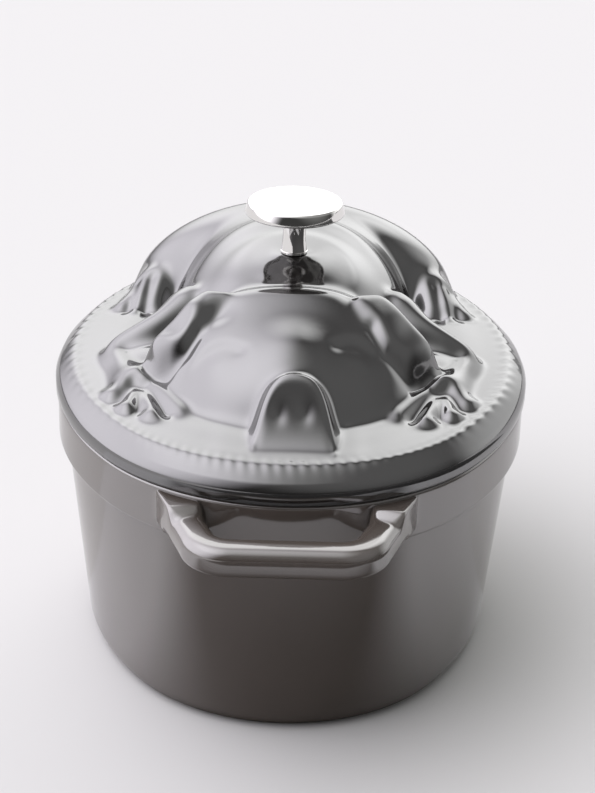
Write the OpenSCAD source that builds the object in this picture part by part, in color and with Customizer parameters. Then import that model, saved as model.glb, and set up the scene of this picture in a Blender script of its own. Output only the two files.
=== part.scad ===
// Oval cast iron cocotte with a pig cast in relief on its lid and a metal knob.
// The origin is at the middle of the foot, +Z is up, the long way of the oval runs along Y,
// and the pig's head points to -Y, the front.

/* [Oval] */
// Width of the lid across the sides
lid_w = 143; // [120:1:170]
// Length of the lid from end to end, without the handles
lid_l = 174; // [160:1:200]
// Radius of the oval's two ends
end_r = 64; // [58:1:67]

/* [Pot] */
// Height of the pot from its foot to its rim
pot_h = 77; // [60:1:110]
// Height of the collar below the rim
collar_h = 14; // [12:0.5:20]
// How far the collar stands in from the lid's edge at the rim
collar_inset = 0.6; // [0.2:0.1:1.5]
// How far the wall steps in below the collar
collar_step = 2.6; // [1.5:0.1:4]
// Thickness of the side wall
wall_t = 4; // [3:0.5:6]
// Thickness of the floor
floor_t = 4.5; // [3.5:0.5:7]
// Lean of the wall, in degrees from upright
wall_lean = 5.4; // [2:0.2:8]
// Radius of the rounded edge round the foot
foot_r = 6; // [4:0.5:9]
// Rounding of the rim's two edges
rim_round = 1; // [0.4:0.1:1.5]

/* [Handles] */
// How far each handle reaches past the lid's end
handle_reach = 20; // [16:0.5:30]
// Width over a handle's arms where they leave the collar
handle_root_w = 72; // [56:1:80]
// Width over a handle's arms at the bar
handle_bar_w = 51; // [44:1:66]
// Depth of the bar, from its inner to its outer face
bar_d = 10; // [8:0.5:14]
// Thickness of the bar
bar_t = 8.2; // [6:0.2:10]
// Thickness of the arms where they leave the collar
root_t = 10.2; // [8:0.2:12]
// How far the bar's top lies below the rim
bar_drop = 3; // [1:0.5:6]
// Radius of the loop's two corners, at the middle of the bar
loop_r = 9; // [7:0.5:12]

/* [Lid] */
// Thickness of the lid's flat rim
lid_rim_t = 5; // [4:0.5:8]
// Thickness of the lid over its hollow underside
lid_wall = 4.5; // [3.5:0.5:6]
// Depth of the skirt that locates the lid in the pot
skirt_d = 6; // [4:0.5:10]
// Thickness of that skirt
skirt_t = 3.6; // [3:0.2:5]
// Clearance between the skirt and the pot's wall
skirt_gap = 0.7; // [0.4:0.1:1.2]
// Width of the rounded shoulder round the lid's edge
band_w = 6.4; // [5:0.2:10]
// Rise of that shoulder from the lid's edge to the ground of the relief
ground_step = 4.6; // [3:0.2:6]
// Rise of the ground from the shoulder inwards to the pig
ground_rise = 2.4; // [0:0.2:4]

/* [Pig] */
// Height of the pig's back above the lid's edge
back_top = 36.5; // [30:0.5:42]
// Half width of its back
trunk_half_w = 37.5; // [33:0.5:42]
// Half length of its trunk
trunk_half_l = 57; // [50:1:62]
// How far the trunk's middle lies behind the lid's middle
trunk_y = 19; // [14:1:24]
// Half width over its thighs
rump_half_w = 53; // [46:1:56]
// Half length of its rump
rump_half_l = 29; // [24:1:32]
// How far the rump's middle lies behind the lid's middle
rump_y = 47; // [42:1:50]
// Height of the rump above the lid's edge
rump_top = 34.8; // [29:0.2:40]
// Half width of its head
head_half_w = 34.5; // [30:0.5:38]
// Half length of its head
head_half_l = 29; // [26:0.5:32]
// How far the head's middle lies in front of the lid's middle
head_y = 32; // [29:0.5:35]
// Height of the crown between the ears above the lid's edge
head_top = 33; // [28:0.5:38]
// Width of the snout
snout_w = 22.8; // [18:0.2:28]
// Height of the snout above the lid's edge
snout_h = 22.4; // [18:0.2:26]
// How far the snout reaches in front of the head's middle
snout_reach = 40.5; // [37:0.5:44]
// Length of an ear from its root to its tip
ear_l = 24; // [18:1:28]

/* [Knob and screw] */
// Height of the knob's seat above the lid's edge
seat_h = 35.7; // [32:0.1:39]
// Diameter of the boss under the knob, inside the lid
boss_d = 16; // [13:0.5:20]
// Diameter of the knob's head
knob_d = 29.6; // [24:0.2:36]
// Thickness of the knob's head
knob_t = 4.4; // [4:0.2:7]
// Height of the knob's stem under the head
stem_h = 12.2; // [11:0.2:22]
// Diameter of the stem at its neck
stem_d = 7; // [6.6:0.2:10]
// Diameter of the stem's foot
stem_foot_d = 8; // [7.6:0.2:12]
// Diameter of the screw's shank
screw_d = 4; // [3:0.5:4.5]
// Clearance round the shank in the lid's bore, on the radius
bore_gap = 0.4; // [0.2:0.1:0.8]
// Clearance round the shank in the knob's thread, on the radius
thread_gap = 0.05; // [0.02:0.01:0.1]
// Depth of the threaded hole in the knob
thread_depth = 10; // [7:0.5:13]
// Diameter of the screw's head
head_d = 8; // [7.6:0.2:10]
// Height of the screw's head
head_h = 2.8; // [2.2:0.2:4]
// Outer diameter of the flat washer
washer_d = 12; // [10:0.5:13]
// Thickness of the flat washer
washer_t = 1; // [0.6:0.1:1.6]
// Outer diameter of the spring washer
spring_d = 7.6; // [7:0.2:9]
// Thickness of the spring washer
spring_t = 0.9; // [0.6:0.1:1.4]

/* [Hidden] */

$fn = 96;
enamel = "dimgray";
polish = "silver";
steel = "slategray";

// The oval is four arcs: two ends of radius end_r and two sides of radius side_r. Ends that are
// wider than the lid's half width make the sides hollow, and their radius is then negative.
half_w = lid_w / 2;
half_l = lid_l / 2;
end_c = half_l - end_r;
flat_side = 0.001;
bulge = abs(half_w - end_r) < flat_side ? flat_side : half_w - end_r;
side_r = (half_w * half_w + end_c * end_c - end_r * end_r) / (2 * bulge);
side_c = side_r - half_w;
turn_over = atan(end_c / side_c);

// Arc pieces of a quarter of the oval, on its side and on its end
side_cuts = 13;
end_cuts = 17;

// Heights that pieces share
lid_edge_z = pot_h + lid_rim_t;
seat_z = lid_edge_z + seat_h;
boss_extra = 1.5;
boss_t = lid_wall + boss_extra;
boss_low_z = seat_z - boss_t;
boss_cover = 3;

// Offsets from the lid's edge, inwards negative
rim_out = -collar_inset;
rim_in = rim_out - collar_step - wall_t;
wall_top = rim_out - collar_step;
collar_low_z = pot_h - collar_h;
wall_foot = wall_top - (collar_low_z - foot_r) * tan(wall_lean);
skirt_out = rim_in - skirt_gap;
skirt_in = skirt_out - skirt_t;
edge_round = 1.2;

function mix(a, b, t) = a + (b - a) * t;

// A ring of points on the oval, set out from the lid's edge by off, from +X towards +Y
function quarter(off) = concat(
    [for (i = [0 : side_cuts - 1]) let (a = turn_over * i / side_cuts)
        [(side_r + off) * cos(a) - side_c, (side_r + off) * sin(a)]],
    [for (i = [0 : end_cuts - 1]) let (a = mix(turn_over, 90, i / end_cuts))
        [(end_r + off) * cos(a), (end_r + off) * sin(a) + end_c]]);
function half_oval(off) = let (q = quarter(off)) concat(q, [[0, end_c + end_r + off]],
    [for (i = [len(q) - 1 : -1 : 1]) [-q[i][0], q[i][1]]]);
function oval(off) = let (h = half_oval(off)) concat(h, [for (p = h) -p]);

// How far a point lies inside the lid's edge
function inset(p) = let (x = abs(p[0]), y = abs(p[1]))
    y > end_c * (1 + x / side_c)
        ? end_r - norm([x, y - end_c])
        : side_r - sign(side_r) * norm([x + side_c, y]);

function clamp(t) = min(max(t, 0), 1);
function ease(t) = let (s = clamp(t)) s * s * (3 - 2 * s);

// The larger of two heights, with a soft valley of width k between them
function smax(a, b, k) = let (h = max(k - abs(a - b), 0) / k) max(a, b) + h * h * k / 4;
function soft_top(v, k, i = 0) = i == len(v) - 1 ? v[i] : smax(v[i], soft_top(v, k, i + 1), k);

// Height of a rounded mound: centre c, half sizes r, squareness n and top h
sunk = -4;
function mound(p, c, r, n, h) =
    let (q = 1 - pow(abs(p[0] - c[0]) / r[0], n) - pow(abs(p[1] - c[1]) / r[1], n))
    q > 0 ? h * sqrt(q) : sunk;

// Height of a limb through stations [x, y, radius, height], with squareness n, on the side s: 1 is
// the pig's right as seen from the front and -1 its left
function limb(p, s, way, n = 2) = let (m = [s * p[0], p[1]]) max([for (i = [1 : len(way) - 1])
    let (a = way[i - 1], b = way[i], d = [b[0] - a[0], b[1] - a[1]], q = m - [a[0], a[1]],
         t = clamp(q * d / (d * d)), e = norm(q - d * t) / mix(a[2], b[2], t))
    e < 1 ? mix(a[3], b[3], t) * sqrt(1 - pow(e, n)) : sunk]);

// The pig's large forms, thinner by cut on every side, which shape the underside too
back_square = 2.4;
function trunk(p, cut) = mound(p, [0, trunk_y],
    [trunk_half_w - cut, trunk_half_l - cut], back_square, back_top - cut);
function rump(p, cut) = mound(p, [0, rump_y], [rump_half_w - cut, rump_half_l - cut], 2, rump_top - cut);

// The face: a flat brow that slopes down to the front from the crown, with cheeks that fall away round it
valley = 3;
crown_behind = 11;
crown_y = crown_behind - head_y;
brow_slope = 0.42;
nape_slope = 0.55;
brow_round = 0.006;
cheek_drop = 5.5;
cheek_fall = 90;
function face(p, cut) =
    let (y = p[1] - crown_y, e = norm([p[0] / (head_half_w - cut), (p[1] + head_y) / (head_half_l - cut)]),
         brow = head_top - smax(-brow_slope * y, nape_slope * y, valley) - brow_round * p[0] * p[0])
    max(brow - cut - cheek_drop * pow(min(e, 1), 5) - cheek_fall * max(e - 1, 0), sunk);

// The snout: a short cone with an arched top, whose flat front leans back
snout_x = 1.5;
front_slope = 1.33;
bridge_slope = 0.55;
bridge_ahead = 28;
bridge_y = -head_y - bridge_ahead;
snout_front_y = -head_y - snout_reach;
function snout(p) =
    let (u = abs(p[0] - snout_x) / (snout_w / 2),
         arch = u < 1 ? snout_h * sqrt(1 - pow(u, back_square)) : sunk)
    max(min(ground_step + front_slope * (p[1] - snout_front_y),
            arch - bridge_slope * max(p[1] - bridge_y, 0)), sunk);

// Stations [x, y, radius, height] of the limbs, given for the right side
jaw_way = [[0, -head_y - 14, 26, 11.5], [0.5, -head_y - 22, 18.5, 10.5], [snout_x, -head_y - 30, 11.5, 8.5]];
jaw_top = 10.5;
arm_way = [[31, -1, 12, 24], [38, -6.5, 9, 19], [45, -9.5, 7.5, 15.5], [51, -12, 6.5, 12.4],
    [53.2, -17, 6, 10.4], [51.5, -24.5, 6.4, 10], [47.5, -31, 7.5, 11]];
hand = [44, -34, 5, 11];
hand_r = [11, 12];
hand_top = 11.8;
toe_tips = [[49.6, -39.5, 3.7, 8.4], [44.6, -46.8, 3.7, 8.4],
    [39.2, -51.3, 3.7, 8.4], [33.2, -52, 3.7, 8.4]];
shoulder_c = [40, -16];
shoulder_r = [14, 18];
shoulder_top = 11.5;
hind_way = [[41, 42, 10, 18], [43.5, 34, 10, 15.5], [47.5, 26, 9, 10.5]];
hind_pad = [46, 33, 5, 13.5];
hind_tips = [[44, 22.5, 3.8, 8], [49.2, 21, 3.8, 8], [53.4, 24.5, 3.8, 8]];

// Ears are flatter than the other limbs. Each starts at its own root and hangs its own way, in shares of
// its length sideways and lengthways, then radius and height
ear_square = 3;
right_root = [20.5, -16.5];
right_hang = [[0, 0, 7, 31], [0.27, -0.12, 8.2, 28], [0.5, -0.31, 9, 21.5], [0.67, -0.5, 7.5, 14.5]];
left_root = [24.5, -19];
left_hang = [[0, 0, 7, 31], [0.23, -0.1, 8.2, 27.5], [0.4, -0.31, 6.5, 21], [0.48, -0.54, 6.6, 15.5]];
function hung(root, way) = [for (q = way) [root[0] + ear_l * q[0], root[1] + ear_l * q[1], q[2], q[3]]];
ear_ways = [hung(left_root, left_hang), hung(right_root, right_hang)];

// The pig, all its forms joined by soft valleys
function jaw(p) = min(limb(p, 1, jaw_way), jaw_top);
function fan(p, s, pad, tips) = max([for (tip = tips) limb(p, s, [pad, tip])]);
function fore_leg(p, s) = max(limb(p, s, arm_way), mound(p, [s * hand[0], hand[1]], hand_r, 2, hand_top),
    fan(p, s, hand, toe_tips), mound(p, [s * shoulder_c[0], shoulder_c[1]], shoulder_r, 2, shoulder_top));
function hind_foot(p, s) = max(limb(p, s, hind_way), fan(p, s, hind_pad, hind_tips));
function pig(p) = soft_top(concat([trunk(p, 0), rump(p, 0), face(p, 0), jaw(p), snout(p)],
    [for (s = [-1, 1]) limb(p, s, ear_ways[(s + 1) / 2], ear_square)],
    [for (s = [-1, 1]) fore_leg(p, s)], [for (s = [-1, 1]) hind_foot(p, s)]), valley);

// Its height as an average over a small circle, the way thick glaze rounds an edge
glaze_r = 1.8;
glaze_n = 6;
function glazed_pig(p) =
    let (around = [for (i = [1 : glaze_n]) let (a = 360 * i / glaze_n) p + glaze_r * [cos(a), sin(a)]],
         heights = [for (q = concat([p], around)) max(pig(q), 0)])
    heights * [for (h = heights) 1] / len(heights);

// Heights of the lid's top and of its underside above the lid's edge. The back is flat under the knob.
rise_w = 16;
clear_w = 3;
seat_margin = 0.5;
seat_flat = stem_foot_d / 2 + seat_margin;
seat_fade = 4.5;
seat_proud = 0.3;
function ground(p) = let (i = inset(p))
    ground_step * sin(90 * clamp(i / band_w)) + ground_rise * ease((i - band_w) / rise_w);
function relief(p) = let (g = ground(p), clear = ease((inset(p) - band_w) / clear_w),
    h = mix(g, smax(g, glazed_pig(p), valley), clear))
    mix(h, seat_h - seat_proud, ease((seat_flat + seat_fade - norm(p)) / seat_fade));
function hollow(p) = soft_top([ground_step - lid_wall, trunk(p, lid_wall), rump(p, lid_wall),
    face(p, lid_wall)], valley);

// The casting of a ring of outlines that starts and ends at a point on the axis
module skin(low, rings, high) {
    n = len(rings[0]);
    last = len(rings) - 1;
    points = concat([low], [for (r = rings) each r], [high]);
    function at(j, i) = 1 + j * n + i % n;
    polyhedron(points, concat(
        [for (i = [0 : n - 1]) [0, at(0, i + 1), at(0, i)]],
        [for (j = [0 : last - 1], i = [0 : n - 1]) each [
            [at(j, i), at(j + 1, i + 1), at(j + 1, i)], [at(j, i), at(j, i + 1), at(j + 1, i + 1)]]],
        [for (i = [0 : n - 1]) [at(last, i), at(last, i + 1), len(points) - 1]]));
}

// The outline of the oval at each point [offset, z] of a profile
function oval_rings(profile) = [for (q = profile) [for (p = oval(q[0])) [p[0], p[1], q[1]]]];

// Points of a quarter round from angle a0 to a1, about centre c
arc_cuts = 4;
function arc(c, r, a0, a1) = [for (i = [0 : arc_cuts])
    c + r * [cos(mix(a0, a1, i / arc_cuts)), sin(mix(a0, a1, i / arc_cuts))]];

// The pot's outline, from the floor up its inside to the rim, and down its outside to the foot
cove = 1.6;
collar_lip = 1.2;
inner_r = 9;
wall_tan = tan(wall_lean);
inner_foot_z = floor_t + inner_r;
inner_foot = rim_in - (collar_low_z - inner_foot_z) * wall_tan;
pot_profile = concat(
    arc([inner_foot - inner_r, inner_foot_z], inner_r, -90, 0),
    [[rim_in, collar_low_z]],
    arc([rim_in + rim_round, pot_h - rim_round], rim_round, 180, 90),
    arc([rim_out - rim_round, pot_h - rim_round], rim_round, 90, 0),
    arc([rim_out - collar_lip, collar_low_z + collar_lip], collar_lip, 0, -90),
    [[wall_top, collar_low_z - cove]],
    arc([wall_foot - foot_r, foot_r], foot_r, 0, -90));

// The loop handle's middle line: an arm, a round corner, the bar and the same again
arm_w = 9;
root_sink = 3.4;
root_drop = 1;
land_l = 7;
land_fade = 3.5;
section_r = 2.2;
arm_cuts = 8;
bend_cuts = 6;
bar_y = half_l + handle_reach - bar_d / 2;
root_x = (handle_root_w - arm_w) / 2;
root_y = end_c + sqrt(pow(end_r + rim_out - root_sink, 2) - root_x * root_x);
corner = [(handle_bar_w - arm_w) / 2, bar_y];
arm_dir = (corner - [root_x, root_y]) / norm(corner - [root_x, root_y]);
bend = atan2(arm_dir[1], -arm_dir[0]);
bend_l = loop_r * tan(bend / 2);
bend_start = corner - arm_dir * bend_l;
bend_c = [corner[0] - bend_l, bar_y - loop_r];
half_loop = concat(
    [for (i = [0 : arm_cuts - 1]) mix([root_x, root_y], bend_start, i / arm_cuts)],
    [for (i = [0 : bend_cuts]) let (a = 90 - bend * (1 - i / bend_cuts))
        bend_c + loop_r * [cos(a), sin(a)]]);
loop = concat(half_loop, [for (i = [len(half_loop) - 1 : -1 : 0]) [-half_loop[i][0], half_loop[i][1]]]);
function loop_dir(i) = let (a = loop[max(i - 1, 0)], b = loop[min(i + 1, len(loop) - 1)])
    (b - a) / norm(b - a);

// A rounded oblong across the loop. Near the collar it is thicker and rises to a land under the lid.
corner_signs = [[1, -1], [-1, -1], [-1, 1], [1, 1]];
function loop_ring(i) =
    let (p = loop[i], d = loop_dir(i), t = clamp((p[1] - root_y) / (bar_y - root_y)),
         clear = norm([p[0], p[1] - end_c]) - end_r - rim_out, land = ease((land_l - clear) / land_fade),
         w = mix(arm_w, bar_d, t), h = mix(bar_t, root_t, land),
         z = pot_h - mix(bar_drop, root_drop, land) - h / 2)
    [for (k = [0 : 3], m = [0 : 2]) let (a = -90 * k - 45 * m,
        u = corner_signs[k][0] * (w / 2 - section_r) + section_r * cos(a),
        v = corner_signs[k][1] * (h / 2 - section_r) + section_r * sin(a))
        [p[0] - d[1] * u, p[1] + d[0] * u, z + v]];
function middle(ring) = [for (k = [0 : 2]) [for (q = ring) q[k]] * [for (q = ring) 1] / len(ring)];

module loop_handle() {
    rings = [for (i = [0 : len(loop) - 1]) loop_ring(i)];
    skin(middle(rings[0]), rings, middle(rings[len(rings) - 1]));
}

// Pot: one casting with a collar, a leaning wall, a thick floor and a loop handle at each end
module pot() {
    color(enamel) {
        skin([0, 0, floor_t], oval_rings(pot_profile), [0, 0, 0]);
        for (s = [0, 180]) rotate(s) loop_handle();
    }
}

// Lid: one casting with the pig on top, a rim that rests on the pot and a skirt that drops inside it
top_rings = 32;
under_rings = 12;
ring_power = 0.85;
skirt_taper = 0.4;
skirt_round = 0.6;
module lid() {
    low_edge = 0.8;
    rim_profile = [[0, lid_edge_z - edge_round], [0, pot_h + low_edge],
        [-low_edge, pot_h], [skirt_out, pot_h],
        [skirt_out - skirt_taper, pot_h - skirt_d + skirt_round],
        [skirt_out - skirt_taper - skirt_round, pot_h - skirt_d],
        [skirt_in + skirt_round, pot_h - skirt_d], [skirt_in, pot_h - skirt_d + skirt_round]];
    under_off = skirt_in - 1;
    top = [for (i = [1 : top_rings]) [for (q = oval(-edge_round))
        let (p = q * pow(i / top_rings, ring_power)) [p[0], p[1], lid_edge_z + relief(p)]]];
    under = [for (i = [under_rings : -1 : 1]) [for (q = oval(under_off))
        let (p = q * i / under_rings) [p[0], p[1], lid_edge_z + hollow(p)]]];
    centre = [0, 0];
    color(enamel) difference() {
        union() {
            skin([0, 0, lid_edge_z + relief(centre)], concat(top, oval_rings(rim_profile), under),
                [0, 0, lid_edge_z + hollow(centre)]);
            translate([0, 0, boss_low_z]) cylinder(d = boss_d, h = boss_t - boss_cover);
            translate([0, 0, boss_low_z]) cylinder(r = seat_flat, h = boss_t);
        }
        translate([0, 0, boss_low_z - boss_t]) cylinder(r = screw_d / 2 + bore_gap, h = 3 * boss_t);
        translate([0, 0, boss_low_z - boss_t]) cylinder(d = boss_d, h = boss_t);
    }
}

// Knob: a turned head on a waisted stem, threaded from below
module knob() {
    ring_r = stem_foot_d / 2;
    under_rise = 0.2;
    foot_h = 0.8;
    foot_edge = 0.2;
    waist_z = 3;
    waist_out = 0.2;
    flare = 1.6;
    low_edge = 0.6;
    top_edge = 0.9;
    edge_lean = 0.6;
    crown = 0.5;
    color(polish) translate([0, 0, seat_z]) difference() {
        rotate_extrude() polygon(concat(
            [[0, 0], [ring_r - foot_edge, 0], [ring_r, foot_edge], [ring_r, foot_h],
             [stem_d / 2 + waist_out, waist_z], [stem_d / 2, stem_h / 2]],
            arc([stem_d / 2 + flare, stem_h - flare], flare, 180, 90),
            arc([knob_d / 2 - low_edge, stem_h + under_rise + low_edge], low_edge, -80, 0),
            arc([knob_d / 2 - edge_lean - top_edge, stem_h + knob_t - crown - top_edge], top_edge, 10, 84),
            [[knob_d / 4, stem_h + knob_t - crown / 4], [0, stem_h + knob_t]]));
        translate([0, 0, -1]) cylinder(r = screw_d / 2 + thread_gap, h = thread_depth + 1);
    }
}

// Screw: a pan head with a cross recess, under the lid, and a shank that runs up into the knob
washer_z = boss_low_z - washer_t;
spring_z = washer_z - spring_t;
module knob_screw() {
    tip_gap = 1;
    recess_w = 1;
    recess_l = 4.2;
    recess_h = 1.6;
    shank_l = seat_z + thread_depth - tip_gap - spring_z;
    color(steel) translate([0, 0, spring_z]) difference() {
        union() {
            cylinder(d = screw_d, h = shank_l);
            translate([0, 0, -head_h]) rotate_extrude() polygon(concat([[0, 0]],
                arc([head_d / 2 - 1, 1], 1, -90, 0), [[head_d / 2, head_h], [0, head_h]]));
        }
        for (a = [0, 90]) rotate(a) translate([-recess_l / 2, -recess_w / 2, -head_h - 1])
            cube([recess_l, recess_w, recess_h + 1]);
    }
}

// Flat washer against the lid's boss
module flat_washer() {
    color(steel) translate([0, 0, washer_z]) difference() {
        cylinder(d = washer_d, h = washer_t);
        translate([0, 0, -1]) cylinder(r = screw_d / 2 + bore_gap, h = washer_t + 2);
    }
}

// Split spring washer between the flat washer and the screw's head
module lock_washer() {
    split = 0.8;
    color(steel) translate([0, 0, spring_z]) difference() {
        cylinder(d = spring_d, h = spring_t);
        translate([0, 0, -1]) cylinder(r = screw_d / 2 + thread_gap, h = spring_t + 2);
        rotate(20) translate([0, -split / 2, -1]) cube([spring_d, split, spring_t + 2]);
    }
}

pot();
lid();
knob();
knob_screw();
flat_washer();
lock_washer();
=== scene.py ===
# %% [markdown]
# # A cast iron cocotte with a pig on its lid
#
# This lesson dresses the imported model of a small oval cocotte: two enamelled castings, a polished knob
# and the screw that holds it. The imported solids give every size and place. The two castings are
# modelled again here as fine meshes, because a glossy glaze shows every facet, and the turned steel
# pieces keep their solids.
#
# All working sizes are millimetres in the part's own frame: the origin is under the middle of the foot,
# +Z is up and the pig's head points to -Y. A mesh is scaled to metres when it is made.

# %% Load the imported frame
import math

import bmesh
import bpy
import numpy as np
from mathutils import Matrix, Vector


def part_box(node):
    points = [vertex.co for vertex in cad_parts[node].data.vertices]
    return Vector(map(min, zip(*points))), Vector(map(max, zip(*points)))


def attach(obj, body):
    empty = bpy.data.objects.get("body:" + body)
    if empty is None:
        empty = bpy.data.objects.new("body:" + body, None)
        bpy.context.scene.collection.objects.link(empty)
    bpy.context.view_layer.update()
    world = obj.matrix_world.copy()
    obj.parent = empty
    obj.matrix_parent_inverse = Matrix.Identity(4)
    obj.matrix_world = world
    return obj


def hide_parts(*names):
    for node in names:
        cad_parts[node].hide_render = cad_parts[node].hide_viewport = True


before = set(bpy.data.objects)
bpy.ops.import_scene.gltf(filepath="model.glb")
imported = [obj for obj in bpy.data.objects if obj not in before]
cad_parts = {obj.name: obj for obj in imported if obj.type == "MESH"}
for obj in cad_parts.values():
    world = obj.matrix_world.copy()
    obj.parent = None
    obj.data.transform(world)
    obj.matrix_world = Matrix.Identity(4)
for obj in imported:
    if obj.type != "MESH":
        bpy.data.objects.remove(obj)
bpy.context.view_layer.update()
MM = 0.001


def node_box(node):
    """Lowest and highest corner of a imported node, in millimetres."""
    low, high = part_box(node)
    return np.array(low) / MM, np.array(high) / MM


lid_high = node_box("lid")[1]
pot_high = node_box("pot")[1]
knob_low, knob_high = node_box("knob")
HALF_W = lid_high[0]
HALF_L = lid_high[1]
END_R = 64.0
RIM_T = 5.0
POT_H = pot_high[2]
EDGE_Z = POT_H + RIM_T
SEAT_Z = knob_low[2]
print("lid", HALF_W * 2, "by", HALF_L * 2, "mm, pot", POT_H, "mm high, knob's seat at", SEAT_Z)

# %% [markdown]
# ## The oval
#
# Every ring of the two castings is a parallel curve of one oval: two end arcs and two longer side arcs
# that meet without a corner. An ellipse would be simpler, but its parallel curves aren't ellipses, and
# the wall would then change its thickness on the way round. With arcs, a step outwards is just a larger
# radius.

# %% Arcs of the oval
END_C = HALF_L - END_R
SIDE_R = (HALF_W**2 + END_C**2 - END_R**2) / (2 * (HALF_W - END_R))
SIDE_C = SIDE_R - HALF_W


def arc_frame(x, y):
    """Distance inside the lid's edge, and the outward direction, at each point."""
    ax, ay = np.abs(x), np.abs(y)
    on_end = ay > END_C * (1 + ax / SIDE_C)
    dx = np.where(on_end, ax, ax + SIDE_C)
    dy = np.where(on_end, ay - END_C, ay)
    far = np.hypot(dx, dy)
    inset = np.where(on_end, END_R, SIDE_R) - far
    far = np.maximum(far, 1e-6)
    return inset, np.sign(x) * dx / far, np.sign(y) * dy / far


def oval_reach(angle, off):
    """Distance from the middle to the parallel curve at off, in the direction of angle."""
    c, s = np.abs(np.cos(angle)), np.abs(np.sin(angle))
    end = END_C * s + np.sqrt(np.maximum((END_R + off) ** 2 - (END_C * c) ** 2, 0))
    side = -SIDE_C * c + np.sqrt((SIDE_R + off) ** 2 - (SIDE_C * s) ** 2)
    return np.where(end * s > END_C * (1 + end * c / SIDE_C), end, side)


print("side arcs of radius", round(SIDE_R, 1), "mm meet end arcs of radius", END_R)

# %% [markdown]
# ## Helpers for meshes and heights
#
# The relief is a height field: for each point of the lid seen from above, a height over the lid's edge.
# Rounded forms are joined with a soft maximum, which leaves a fillet between them, the way thick glaze
# fills a corner.

# %% Helpers for meshes
MERGE = 1e-7


def add_object(name, data):
    """A new object in the scene."""
    made = bpy.data.objects.new(name, data)
    bpy.context.scene.collection.objects.link(made)
    return made


def final_mesh(maker):
    """An object's mesh after its modifiers, as a plain mesh."""
    graph = bpy.context.evaluated_depsgraph_get()
    graph.update()
    return bpy.data.meshes.new_from_object(maker.evaluated_get(graph))


def ring_quads(rings, around):
    """Faces between rings of points that follow one another."""
    quads = []
    for j in range(rings - 1):
        for k in range(around):
            n = (k + 1) % around
            quads.append((j * around + k, j * around + n, (j + 1) * around + n, (j + 1) * around + k))
    return quads


def close_up(mesh, fill=False):
    """Merge points that meet, fill open ends if asked, and turn the faces outwards."""
    work = bmesh.new()
    work.from_mesh(mesh)
    bmesh.ops.remove_doubles(work, verts=work.verts, dist=MERGE)
    if fill:
        bmesh.ops.holes_fill(work, edges=[e for e in work.edges if e.is_boundary])
    bmesh.ops.recalc_face_normals(work, faces=work.faces)
    work.to_mesh(mesh)
    work.free()


def make_piece(name, points, faces, material):
    """A smooth closed mesh from points in millimetres, with its faces turned outwards."""
    mesh = bpy.data.meshes.new(name)
    mesh.from_pydata((np.asarray(points) * MM).tolist(), [], [list(map(int, f)) for f in faces])
    close_up(mesh)
    mesh.shade_smooth()
    mesh.materials.append(material)
    return add_object(name, mesh)


# %% Helpers for heights
def ease(t):
    """A smooth step from 0 to 1 while t goes from 0 to 1."""
    t = np.clip(t, 0, 1)
    return t * t * (3 - 2 * t)


def soft_max(a, b, k):
    """The larger of two heights, with a fillet of width k where they meet."""
    h = np.maximum(k - np.abs(a - b), 0) / k
    return np.maximum(a, b) + h * h * k / 4


def dome(x, y, middle, half, top, power=2.0):
    """Height of a rounded mound that starts at the lid's edge, below the ground."""
    u = np.abs(x - middle[0]) / half[0]
    v = np.abs(y - middle[1]) / half[1]
    q = np.maximum(1 - u**power - v**power, 0)
    return top * np.sqrt(q)


def beside(x, y, a, b):
    """Each point's share of the way from a to b, and its distance from that line."""
    dx, dy = b[0] - a[0], b[1] - a[1]
    t = np.clip(((x - a[0]) * dx + (y - a[1]) * dy) / (dx * dx + dy * dy), 0, 1)
    return t, np.hypot(x - a[0] - dx * t, y - a[1] - dy * t)


def limb(x, y, stations):
    """Height of a round limb through stations of (x, y, radius, height)."""
    result = np.zeros(x.shape)
    for a, b in zip(stations, stations[1:]):
        t, far = beside(x, y, a, b)
        e = far / (a[2] + (b[2] - a[2]) * t)
        h = (a[3] + (b[3] - a[3]) * t) * np.sqrt(np.maximum(1 - e**2, 0))
        result = np.maximum(result, h)
    return result


# %% Helpers for lines, spots and ways
def stroke(x, y, path, width):
    """A soft line through the points of a path: 1 on the line, falling to 0 beside it."""
    near = np.min([beside(x, y, a, b)[1] for a, b in zip(path, path[1:])], axis=0)
    return np.exp(-((near / width) ** 2))


def spot(x, y, middle, half):
    """A soft round spot: 1 in its middle, falling to 0 outside."""
    return np.exp(-(((x - middle[0]) / half[0]) ** 2) - ((y - middle[1]) / half[1]) ** 2)


def smooth_way(stations, cuts=5):
    """More stations on a smooth curve through the given ones."""
    p = np.array([stations[0], *stations, stations[-1]], float)
    way = []
    for a, b, c, d in zip(p, p[1:], p[2:], p[3:]):
        for t in np.arange(cuts) / cuts:
            way.append(b + t / 2 * (c - a + t * (2 * a - 5 * b + 4 * c - d + t * (3 * (b - c) + d - a))))
    return [tuple(q) for q in way] + [tuple(p[-1])]


def both(points, side):
    """Points given for the right side, mirrored where side is -1."""
    return [(side * p[0],) + tuple(p[1:]) for p in points]


# %% [markdown]
# ## The pig in relief
#
# The pig lies flat on its belly. Each form is placed by a few named sizes in millimetres. The trunk is
# made of broad domes, the face is a sloping plane with rounded sides, legs and toes are tapering limbs,
# and the ears are flaps that hang over the side of the head. Eyes, nostrils and clefts are soft spots
# and strokes that are cut in at the end. Sculpting by hand would give freer forms, but a rule can be
# read, checked and resized.

# %% Ground and border of the lid
SHOULDER_W = 6.4
GROUND_Z = 4.6
GROUND_RISE, RISE_W = 2.4, 16.0
BORDER_IN = 5.7
BEAD_PITCH = 4.8
RIDGE_H, BEAD_H, BEAD_W = 0.35, 0.26, 2.0


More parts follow.
